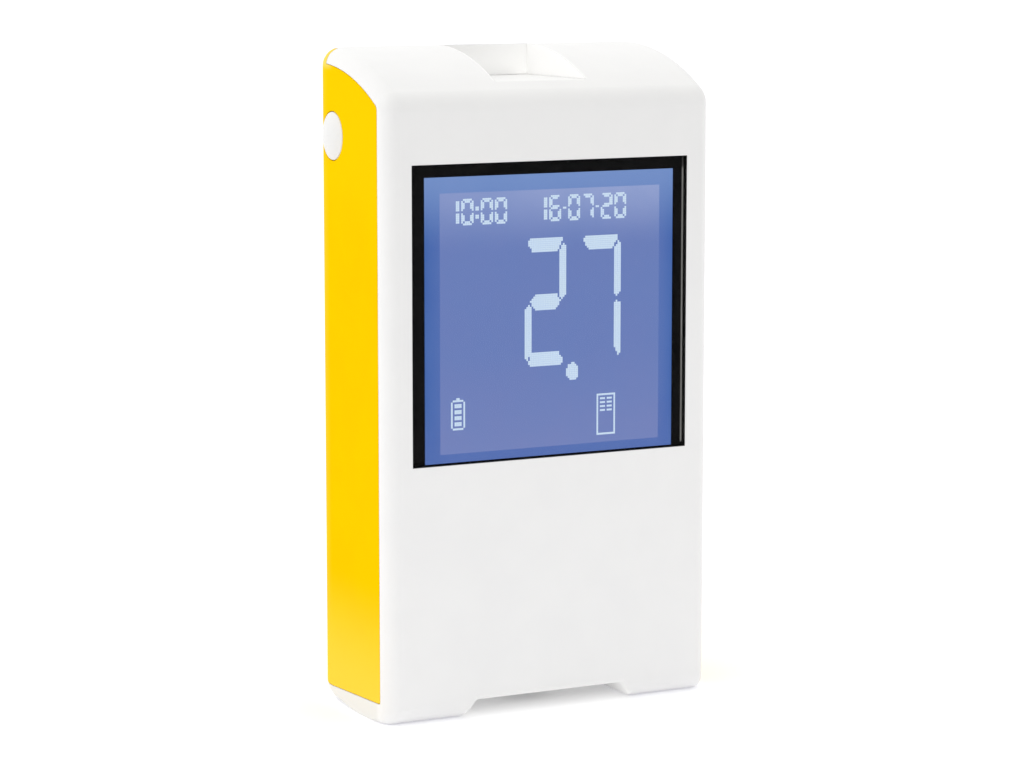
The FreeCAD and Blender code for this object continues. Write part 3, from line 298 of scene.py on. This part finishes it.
def ceramic(name):
    """Ceramic bodies with tinned end caps."""
    k = Look(name)
    speck = k.noise(0.15, 3.0, 0.7)
    tint = k.blend(k.span(speck, 0.35, 0.7, 0.0, 1.0), (0.50, 0.38, 0.25), (0.36, 0.26, 0.17))
    return k.end(k.shader(Base_Color=tint, Roughness=k.span(k.noise(0.5, 2.0), 0.3, 0.7, 0.38, 0.55), Normal=k.bump(speck, 0.01)))


def wrapped(name):
    """Shrunk film over a flat cell, with pulled wrinkles."""
    k = Look(name)
    wrinkle = k.noise(2.5, 4.0, 0.6, where=k.stretch(1.0, 1.0, 0.25), distortion=0.6)
    tint = k.blend(k.span(k.noise(12.0, 2.0), 0.35, 0.65, 0.0, 1.0), (0.030, 0.075, 0.21), (0.045, 0.10, 0.26))
    level = k.span(wrinkle, 0.3, 0.7, 0.20, 0.34)
    return k.end(k.shader(Base_Color=tint, Roughness=level, Normal=k.bump(wrinkle, 0.10)))


def silicone(name, pale, deep):
    k = Look(name)
    fine = k.noise(0.12, 2.0, 0.6)
    tint = k.blend(k.span(k.noise(2.0, 3.0), 0.35, 0.65, 0.0, 1.0), pale, deep)
    return k.end(k.shader(Base_Color=tint, Roughness=k.span(fine, 0.3, 0.7, 0.42, 0.56), Normal=k.bump(fine, 0.012)))


def clear(name, tint, rough, index, film):
    """Clear moulded part: mostly see-through, a thin gloss that grows towards grazing views."""
    k = Look(name)
    smear = k.span(k.noise(7.0, 4.0, 0.6), 0.35, 0.7, rough * 0.7, rough * 1.5)
    fine = k.noise(0.35, 2.0, 0.5)
    gloss = k.node("ShaderNodeBsdfGlossy")
    gloss.inputs["Color"].default_value = (1.0, 1.0, 1.0, 1.0)
    k.link(smear, gloss.inputs["Roughness"])
    k.link(k.bump(fine, film), gloss.inputs["Normal"])
    through = k.node("ShaderNodeBsdfTransparent")
    through.inputs["Color"].default_value = (*tint, 1.0)
    # the same on both faces, so that the far face doesn't turn into a mirror at a slant
    slant = k.node("ShaderNodeLayerWeight")
    slant.inputs["Blend"].default_value = 0.5
    rim = k.math("MULTIPLY_ADD", k.math("POWER", slant.outputs["Facing"], 4.5), 0.85, ((index - 1.0) / (index + 1.0)) ** 2)
    both = k.node("ShaderNodeMixShader")
    k.link(rim, both.inputs[0])
    k.link(through.outputs[0], both.inputs[1])
    k.link(gloss.outputs[0], both.inputs[2])
    return k.end(both)


def printed_black(name):
    """The black border film behind the window."""
    k = Look(name)
    fine = k.noise(0.3, 3.0, 0.6)
    tint = k.blend(k.span(k.noise(8.0, 3.0), 0.35, 0.65, 0.0, 1.0), (0.0026, 0.0026, 0.0030), (0.0046, 0.0044, 0.0046))
    # painted highlight: a light line near its right edge, from just above the bottom to near the top, standing in for
    # light caught at the pane's edge
    x, y, z = k.axes()
    edge_glint = k.math("MULTIPLY", k.span(x, 26.85, 27.05, 0.0, 1.0, smooth=True), k.span(x, 27.15, 27.35, 1.0, 0.0, smooth=True))
    edge_glint = k.math("MULTIPLY", edge_glint, k.math("MULTIPLY", k.span(z, 46.8, 47.2, 0.0, 1.0), k.span(z, 96.9, 97.5, 1.0, 0.25)))
    tint = k.blend(edge_glint, tint, (0.290, 0.285, 0.270))
    return k.end(k.shader(Base_Color=tint, Roughness=k.span(fine, 0.3, 0.7, 0.55, 0.72), Normal=k.bump(fine, 0.008),
                          Specular_IOR_Level=0.03))


# lit picture of the display: millimetres on its front face
FIELD = (-21.66, 22.43, 48.02, 94.22)      # left, right, bottom, top of the dot field
DOT_W, DOT_H = 0.3482, 0.3590


def lit_display(name):
    """Blue-lit display glass: a deeper border, a greyer dot field with its faint grid, and a soft glare near the top."""
    k = Look(name)
    x, y, z = k.axes()
    left, right, low, high = FIELD

    def step(value, at, way):
        return k.span(value, at - 0.09, at + 0.09, 0.0 if way > 0 else 1.0, 1.0 if way > 0 else 0.0, smooth=True)

    inside = k.math("MULTIPLY", k.math("MULTIPLY", step(x, left, 1), step(x, right, -1)),
                    k.math("MULTIPLY", step(z, low, 1), step(z, high, -1)))
    # border: deepest along the left side, paler to the right, above and below
    side = k.math("MULTIPLY", k.span(x, -24.6, -20.0, 0.0, 1.0), k.span(x, 22.4, 24.9, 1.0, 0.15))
    rise = k.span(z, 84.0, 97.5, 0.0, 1.0, smooth=True)
    drop = k.span(z, 58.0, 46.5, 0.0, 1.0, smooth=True)
    ends = k.math("MAXIMUM", rise, drop)
    border = k.blend(k.math("MAXIMUM", side, k.math("MULTIPLY", ends, 0.35)), (0.046, 0.120, 0.388), (0.090, 0.155, 0.430))
    border = k.blend(k.math("MULTIPLY", drop, 0.6), border, (0.070, 0.132, 0.402))
    border = k.blend(k.math("MULTIPLY", rise, 0.85), border, (0.176, 0.284, 0.568))
    # dot field
    field = k.blend(k.span(z, 48.0, 66.0, 1.0, 0.0), (0.137, 0.197, 0.462), (0.165, 0.212, 0.468))
    glow = k.math("MULTIPLY", k.span(z, 83.0, 95.5, 0.0, 1.0, smooth=True), k.span(x, -24.0, 14.0, 0.62, 1.0))
    field = k.blend(glow, field, (0.296, 0.362, 0.622))
    # pixel grid and slow unevenness of the backlight
    fx = k.math("FRACT", k.math("DIVIDE", k.math("SUBTRACT", x, left), DOT_W))
    fz = k.math("FRACT", k.math("DIVIDE", k.math("SUBTRACT", z, low), DOT_H))
    lines = k.math("MAXIMUM", k.span(k.math("ABSOLUTE", k.math("SUBTRACT", fx, 0.5)), 0.42, 0.46, 0.0, 1.0),
                   k.span(k.math("ABSOLUTE", k.math("SUBTRACT", fz, 0.5)), 0.42, 0.46, 0.0, 1.0))
    field = k.blend(k.math("MULTIPLY", lines, 0.10), field, (0.075, 0.12, 0.36))
    cloud = k.noise(9.0, 3.0, 0.55)
    tint = k.blend(inside, border, field)
    tint = k.blend(k.span(cloud, 0.35, 0.70, 0.0, 0.16), tint, (0.10, 0.20, 0.47))
    face = k.span(y, -15.6, -15.4, 1.0, 0.0)
    glass = k.shader(Base_Color=k.blend(cloud, (0.004, 0.006, 0.014), (0.006, 0.008, 0.018)),
                     Roughness=k.span(cloud, 0.3, 0.7, 0.12, 0.20), Emission_Color=k.blend(face, (0.0, 0.0, 0.0), tint),
                     Emission_Strength=1.0, Specular_IOR_Level=0.12)
    return k.end(glass)


def lit_dots(name):
    """Switched display dots: pale, a little bluer at the rim of each dot."""
    k = Look(name)
    x, y, z = k.axes()
    left, right, low, high = FIELD
    fx = k.math("ABSOLUTE", k.math("SUBTRACT", k.math("FRACT", k.math("DIVIDE", k.math("SUBTRACT", x, left), DOT_W)), 0.5))
    fz = k.math("ABSOLUTE", k.math("SUBTRACT", k.math("FRACT", k.math("DIVIDE", k.math("SUBTRACT", z, low), DOT_H)), 0.5))
    rim = k.span(k.math("MAXIMUM", fx, fz), 0.30, 0.47, 0.0, 1.0, smooth=True)
    tint = k.blend(rim, (0.615, 0.750, 0.880), (0.500, 0.640, 0.860))
    tint = k.blend(k.span(k.noise(3.5, 3.0), 0.35, 0.68, 0.0, 0.35), tint, (0.600, 0.740, 0.800))
    dots = k.shader(Base_Color=(0.01, 0.012, 0.02), Roughness=0.3, Emission_Color=tint, Emission_Strength=1.0,
                    Specular_IOR_Level=0.1)
    return k.end(dots)


white = moulded("white_shell_plastic", (0.872, 0.868, 0.855), (0.858, 0.854, 0.843), 0.40, 0.30, 0.0035, worn=(0.91, 0.91, 0.905), lit=painted_port_glow,
                marks=painted_low_shade)
yellow = moulded("yellow_shell_plastic", (0.965, 0.570, 0.0006), (0.940, 0.552, 0.0008), 0.55, 0.34, 0.0080, worn=(0.975, 0.585, 0.001), specular=0.0,
                 marks=painted_yellow_reflections, sheen=(0.35, 0.10, (1.0, 0.9, 0.7)))
cap = moulded("button_plastic", (0.820, 0.818, 0.805), (0.808, 0.806, 0.796), 0.36, 0.22, 0.0025, mottle=3.0, edge=0.12, marks=cap_shade)
black_plastic = moulded("black_plastic", (0.026, 0.026, 0.027), (0.020, 0.020, 0.021), 0.48, 0.20, 0.006, mottle=4.0, edge=0.10)
natural_plastic = moulded("natural_plastic", (0.74, 0.72, 0.65), (0.68, 0.66, 0.58), 0.45, 0.22, 0.006, mottle=4.0, edge=0.10)
chip_epoxy = moulded("chip_epoxy", (0.030, 0.030, 0.032), (0.018, 0.018, 0.020), 0.58, 0.10, 0.010, mottle=1.5, edge=0.05)
guide_plastic = moulded("light_guide_plastic", (0.72, 0.78, 0.88), (0.66, 0.73, 0.85), 0.18, 0.30, 0.002, mottle=6.0, edge=0.10)
led_plastic = moulded("light_package", (0.86, 0.86, 0.74), (0.82, 0.80, 0.62), 0.30, 0.12, 0.003, mottle=1.0, edge=0.05)
bright = steel("nickel_plate", (0.66, 0.66, 0.68), (0.52, 0.52, 0.54), 0.24)
zinc = steel("zinc_screws", (0.52, 0.53, 0.56), (0.38, 0.38, 0.39), 0.34, direction=(1.0, 0.3, 1.0))
aluminium = steel("plain_aluminium", (0.78, 0.78, 0.79), (0.68, 0.68, 0.69), 0.30)
window = clear("hard_coated_acrylic", (1.0, 1.0, 1.0), 0.05, 1.13, 0.0002)
lens = clear("coated_lens", (0.72, 0.80, 0.92), 0.03, 1.52, 0.0002)

finish_of = {
    "front_shell": white,
    "rear_shell": yellow,
    "display_window": window,
    "window_bond": printed_black("black_border_film"),
    "lcd_glass": lit_display("lit_display_glass"),
    "lcd_light_guide": guide_plastic,
    "lcd_carrier": black_plastic,
    "lcd_flex": flexible("amber_film"),
    "lcd_connector": natural_plastic,
    "main_board": board("solder_mask"),
    "processor_chip": chip_epoxy,
    "memory_chip": chip_epoxy,
    "regulator_chips": chip_epoxy,
    "clock_crystal": bright,
    "capacitors": ceramic("ceramic_chip"),
    "buzzer": black_plastic,
    "usb_socket_shell": bright,
    "usb_socket_insert": black_plastic,
    "battery_pack": wrapped("battery_film"),
    "battery_foam_pad": sponge("grey_foam"),
    "battery_connector": natural_plastic,
    "battery_lead_positive": silicone("red_insulation", (0.52, 0.018, 0.014), (0.42, 0.012, 0.010)),
    "battery_lead_negative": silicone("black_insulation", (0.022, 0.022, 0.023), (0.014, 0.014, 0.015)),
    "chip_guide": natural_plastic,
    "heater_plate": aluminium,
    "camera_sensor": chip_epoxy,
    "camera_barrel": black_plastic,
    "camera_lens": lens,
    "illumination_lights": led_plastic,
    "housing_screws": zinc,
    "board_screws": zinc,
    "guide_screws": zinc,
    "camera_screws": zinc,
}
finish_of["camera_board"] = finish_of["main_board"]
finish_of["camera_flex"] = finish_of["lcd_flex"]
for side in ("left", "right"):
    finish_of[side + "_button_cap"] = cap
    finish_of[side + "_switch_body"] = black_plastic
    finish_of[side + "_switch_plunger"] = natural_plastic
    finish_of[side + "_switch_board"] = finish_of["main_board"]
    finish_of[side + "_switch_flex"] = finish_of["lcd_flex"]

for name, node in nodes.items():
    node.data.materials.clear()
    node.data.materials.append(finish_of[name])


# ------------------------------------------------------- figures on the display
FACE_Y = -15.65                 # front face of the display glass
LEFT, TOP = FIELD[0], FIELD[3]


def inside(shape, u, v):
    """Whether the point lies in the polygon, in dots."""
    odd = False
    for (a, b), (c, e) in zip(shape, shape[1:] + shape[:1]):
        if (b > v) != (e > v) and u < a + (v - b) * (c - a) / (e - b):
            odd = not odd
    return odd


def dots_of(*shapes):
    """Every dot whose centre one of the shapes covers; columns count from the field's left, rows from its top."""
    lit = set()
    for shape in shapes:
        us, vs = [p[0] for p in shape], [p[1] for p in shape]
        for row in range(math.floor(min(vs)), math.ceil(max(vs)) + 1):
            for column in range(math.floor(min(us)), math.ceil(max(us)) + 1):
                if inside(shape, column + 0.5, row + 0.5):
                    lit.add((column, row))
    return lit


def figures(name, lit):
    """One flat tile for each switched dot, on the front of the display glass."""
    mesh = bpy.data.meshes.new(name)
    bm = bmesh.new()
    gap = 0.010
    for column, row in sorted(lit):
        x0 = (LEFT + column * DOT_W + gap) * MM
        x1 = (LEFT + (column + 1) * DOT_W - gap) * MM
        z0 = (TOP - (row + 1) * DOT_H + gap) * MM
        z1 = (TOP - row * DOT_H - gap) * MM
        y0, y1 = (FACE_Y - 0.030) * MM, (FACE_Y - 0.004) * MM
        corner = [bm.verts.new(p) for p in ((x0, y0, z0), (x1, y0, z0), (x1, y0, z1), (x0, y0, z1),
                                            (x0, y1, z0), (x1, y1, z0), (x1, y1, z1), (x0, y1, z1))]
        for face in ((0, 1, 2, 3), (5, 4, 7, 6), (0, 4, 5, 1), (1, 5, 6, 2), (2, 6, 7, 3), (3, 7, 4, 0)):
            bm.faces.new([corner[i] for i in face])
    bm.normal_update()
    bm.to_mesh(mesh)
    bm.free()
    made = bpy.data.objects.new(name, mesh)
    bpy.context.scene.collection.objects.link(made)
    mesh.materials.append(dot_finish)
    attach(made, "housing")
    return made


def large(segments, u, v, width=24.0, height=64.0, bar=4.4, deck=7.0):
    """Seven-segment figure with wide decks and slim bars, its upper left corner at dot (u, v)."""
    middle = v + height / 2
    right, low = u + width, v + height
    slope = bar + 0.3
    parts = {
        "a": [(u + 1.6, v + 2.0), (u + 3.2, v), (right - 3.0, v), (right - 1.8, v + 1.2), (right - slope - 0.4, v + deck), (u + slope - 0.2, v + deck)],
        "b": [(right - 1.5, v + 3.0), (right, v + 5.0), (right, middle - 3.0), (right - 2.8, middle - 0.8), (right - bar, middle - 3.0), (right - bar, v + deck + 0.6)],
        "c": [(right - 2.8, middle + 1.0), (right, middle + 3.2), (right, low - 5.0), (right - 1.6, low - 2.6), (right - bar, low - deck - 0.6), (right - bar, middle + 3.0)],
        "d": [(u + slope - 0.4, low - deck), (right - slope + 0.2, low - deck), (right - 1.6, low - 2.0), (right - 3.0, low), (u + 3.2, low), (u + 1.8, low - 1.4)],
        "e": [(u + 2.8, middle + 1.0), (u, middle + 3.2), (u, low - 5.0), (u + 1.6, low - 2.8), (u + bar, low - deck - 0.6), (u + bar, middle + 3.0)],
        "f": [(u + 1.5, v + 3.0), (u, v + 5.0), (u, middle - 3.0), (u + 2.8, middle - 0.8), (u + bar, middle - 3.0), (u + bar, v + deck + 0.6)],
        "g": [(u + 3.2, middle), (u + 6.4, middle - 4.1), (right - 5.8, middle - 4.1), (right - 3.0, middle - 0.4), (right - 5.8, middle + 4.0), (u + 6.2, middle + 4.0)],
    }
    return [parts[s] for s in segments]


def small(segments, u, v, width=7, height=13):
    """Seven-segment figure of the small rows: strokes two dots thick, one dark dot where strokes meet."""
    lit = set()
    half = height // 2
    r, b = u + width - 1, v + height - 1
    if "a" in segments:
        lit |= {(c, v) for c in range(u + 1, r)} | {(c, v + 1) for c in range(u + 2, r - 1)}
    if "d" in segments:
        lit |= {(c, b) for c in range(u + 1, r)} | {(c, b - 1) for c in range(u + 2, r - 1)}
    if "g" in segments:
        lit |= {(c, v + half) for c in range(u + 2, r - 1)} | {(c, v + half - 1) for c in range(u + 2, r - 1)}
        lit |= {(u + 1, v + half), (r - 1, v + half - 1)}
    for key, near, far, top, low in (("f", u, u + 1, v + 1, v + half - 1), ("b", r, r - 1, v + 1, v + half - 1),
                                     ("e", u, u + 1, v + half + 1, b - 1), ("c", r, r - 1, v + half + 1, b - 1)):
        if key in segments:
            lit |= {(near, row) for row in range(top, low + 1)}
            lit |= {(far, row) for row in range(top + 1, low)}
    return lit


SEGMENTS = {"0": "abcdef", "1": "bc", "2": "abdeg", "6": "acdefg", "7": "abc"}
dot_finish = lit_dots("switched_dots")


def columns(x):
    return (x + 21.47) / DOT_W


def rows(z):
    return (94.15 - z) / DOT_H


# time of day, date
top_row = round(rows(93.05))
clock = set()
for figure, x in (("0", -17.29), ("0", -13.55), ("0", -10.71)):
    clock |= small(SEGMENTS[figure], round(columns(x)), top_row)
clock |= {(c, r) for c in (round(columns(-17.29)) - 3, round(columns(-17.29)) - 2) for r in range(top_row + 1, top_row + 12) if r != top_row + 6}
clock |= {(c, top_row + r) for c in (round(columns(-14.59)), round(columns(-14.59)) + 1) for r in (4, 5, 8, 9)}
figures("display_clock_figures", clock)
date = set()
for figure, x in (("6", 0.29), ("0", 4.05), ("7", 6.85), ("2", 10.60), ("0", 13.43)):
    date |= small(SEGMENTS[figure], round(columns(x)), top_row)
date |= {(c, r) for c in (round(columns(0.29)) - 3, round(columns(0.29)) - 2) for r in range(top_row + 1, top_row + 12) if r != top_row + 6}
for x in (3.02, 9.64):
    date |= {(round(columns(x)) + c, top_row + 6) for c in range(2)}
figures("display_date_figures", date)

# result in large figures with its point
result = dots_of(*large("abdeg", columns(-4.79), rows(85.60)))
result |= dots_of(*large("abc", columns(6.46), rows(85.60)))
cu, cv = columns(4.90), rows(61.18)
result |= {(c, r) for c in range(int(cu) - 6, int(cu) + 7) for r in range(int(cv) - 6, int(cv) + 7)
           if ((c + 0.5 - cu) / 3.7) ** 2 + ((r + 0.5 - cv) / 4.5) ** 2 <= 1.0}
figures("display_result_figures", result)

# battery gauge: outline, cap and four bars
u, v = round(columns(-19.33)), round(rows(57.40))
gauge = set()
for r in range(15):
    for c in range(8):
        edge_dot = c in (0, 7) or r in (0, 14)
        corner_dot = (c in (0, 7)) and (r in (0, 14))
        if edge_dot and not corner_dot:
            gauge.add((u + c, v + r))
for r in (2, 3, 5, 6, 8, 9, 11, 12):
    gauge |= {(u + c, v + r) for c in range(2, 6)}
gauge |= {(u + c, v - 1) for c in range(3, 5)}
figures("display_battery_mark", gauge)

# marker of a seated test chip: frame with two columns of short dashes
u, v = round(columns(9.98)), round(rows(56.87))
slide = set()
for r in range(21):
    for c in range(11):
        if c in (0, 10) or r in (0, 20):
            slide.add((u + c, v + r))
for r in (2, 4, 6, 8):
    slide |= {(u + c, v + r) for c in (2, 3, 4, 6, 7, 8)}
figures("display_chip_mark", slide)


# ----------------------------------------------------------- floor, light, view
def floor():
    bm = bmesh.new()
    bmesh.ops.create_grid(bm, x_segments=24, y_segments=24, size=14.0)
    mesh = bpy.data.meshes.new("floor")
    bm.to_mesh(mesh)
    bm.free()
    made = bpy.data.objects.new("floor", mesh)
    bpy.context.scene.collection.objects.link(made)
    k = Look("translucent_white_table")
    x, y, z = k.axes()
    tint = k.blend(k.span(k.noise(60.0, 3.0), 0.35, 0.65, 0.0, 1.0), (0.900, 0.900, 0.900), (0.895, 0.895, 0.895))
    # painted shade: the table's colour darkens and its glow drops towards its front, where it is lit less
    reach = k.span(y, -520.0, -90.0, 0.0, 1.0, smooth=True)
    tint = k.blend(reach, (0.56, 0.56, 0.56), tint)
    glow = k.blend(reach, (0.10, 0.10, 0.10), (0.218, 0.218, 0.240))
    # painted shadow under the arch, with a neutral glow there, and painted light towards its mouth
    aside = k.math("ABSOLUTE", x)
    under = k.math("MULTIPLY", k.span(y, -26.0, -18.0, 0.0, 1.0, smooth=True), k.span(y, 8.0, 14.0, 1.0, 0.0, smooth=True))
    under = k.math("MULTIPLY", under, k.span(aside, 15.0, 19.0, 1.0, 0.0, smooth=True))
    glow = k.blend(under, glow, (0.181, 0.181, 0.184))
    mouth = k.math("MULTIPLY", k.span(y, -25.0, -16.0, 0.0, 1.0, smooth=True), k.span(y, -16.0, -7.0, 1.0, 0.0, smooth=True))
    mouth = k.math("MULTIPLY", mouth, k.span(aside, 14.0, 18.0, 1.0, 0.0, smooth=True))
    glow = k.blend(mouth, glow, (0.296, 0.296, 0.299))
    mesh.materials.append(k.end(k.shader(Base_Color=tint, Roughness=0.9, Specular_IOR_Level=0.0,
                                         Emission_Color=glow, Emission_Strength=1.0)))
    return made


floor()

world = bpy.data.worlds.new("studio")
world.use_nodes = True
bpy.context.scene.world = world
backdrop = world.node_tree.nodes["Background"]
backdrop.inputs["Color"].default_value = (1.0, 1.0, 1.0, 1.0)
# a wide white tent: brightest overhead, least from the front, slightly more from the left
tree = world.node_tree
heading = tree.nodes.new("ShaderNodeTexCoord")
parts = tree.nodes.new("ShaderNodeSeparateXYZ")
tree.links.new(heading.outputs["Generated"], parts.inputs[0])
level = None
for axis, least, share in (("Z", 0.0, 0.35), ("Y", -1.0, 0.20), ("X", -1.0, -0.02)):
    held = tree.nodes.new("ShaderNodeMath")
    held.operation = "MAXIMUM"
    tree.links.new(parts.outputs[axis], held.inputs[0])
    held.inputs[1].default_value = least
    added = tree.nodes.new("ShaderNodeMath")
    added.operation = "MULTIPLY_ADD"
    tree.links.new(held.outputs[0], added.inputs[0])
    added.inputs[1].default_value = share
    if level is None:
        added.inputs[2].default_value = 0.84
    else:
        tree.links.new(level, added.inputs[2])
    level = added.outputs[0]
tree.links.new(level, backdrop.inputs["Strength"])


def softbox(name, place, target, width, height, power):
    light = bpy.data.lights.new(name, "AREA")
    light.shape = "RECTANGLE"
    light.size, light.size_y = width, height
    light.energy = power
    made = bpy.data.objects.new(name, light)
    bpy.context.scene.collection.objects.link(made)
    made.location = place
    made.rotation_euler = (Vector(target) - Vector(place)).to_track_quat("-Z", "Y").to_euler()
    return made


softbox("left_key", (-1.1, 0.15, 0.9), (0.0, 0.0, 0.06), 0.8, 0.8, 1.5)

camera = bpy.data.cameras.new("camera")
camera.lens = 113.0
camera.sensor_width = 36.0
camera.sensor_fit = "HORIZONTAL"
camera.clip_start = 0.01
camera.clip_end = 100.0
eye = bpy.data.objects.new("camera", camera)
bpy.context.scene.collection.objects.link(eye)
eye.location = (-0.26560, -0.51960, 0.14085)
eye.rotation_euler = Vector((0.45130, 0.88105, -0.14174)).to_track_quat("-Z", "Y").to_euler()
bpy.context.scene.camera = eye

settings = bpy.context.scene.view_settings
settings.view_transform = "Standard"
settings.look = "None"
settings.exposure = 0.0
settings.gamma = 1.0
